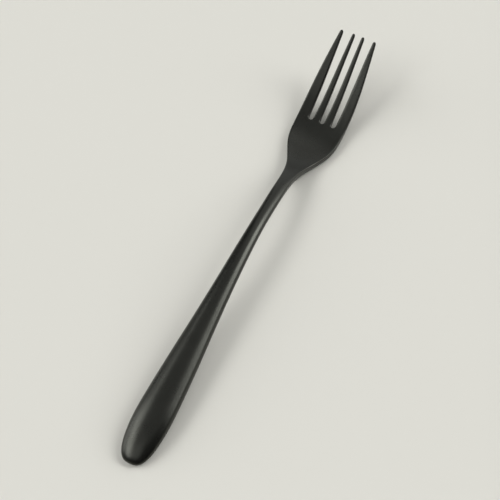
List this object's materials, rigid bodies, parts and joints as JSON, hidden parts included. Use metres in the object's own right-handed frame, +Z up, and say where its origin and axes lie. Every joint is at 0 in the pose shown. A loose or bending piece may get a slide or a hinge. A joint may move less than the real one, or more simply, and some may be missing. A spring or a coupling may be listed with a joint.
{
  "type": "dinner fork",
  "caption": "Matte black dinner fork with a dished head, tapered tines, a slim arched neck and a rounded, drop-shaped hollow handle.",
  "frame": {"origin": "on the table plane that the fork rests on, under the middle of its bounding box", "axes": "+X runs along the fork to the tine tips, +Y is across it and is the direction that it is mirror-symmetric in, +Z is up, the way that the tines curve"},
  "size_m": [0.21, 0.0224, 0.0233],
  "materials": {
    "coated_steel": "matte",
    "filler_cement": "matte"
  },
  "bodies": {
    "root": {"fork_head": "coated_steel", "handle_upper_shell": "coated_steel", "handle_lower_shell": "coated_steel", "handle_filler": "filler_cement"}
  },
  "joints": []
}
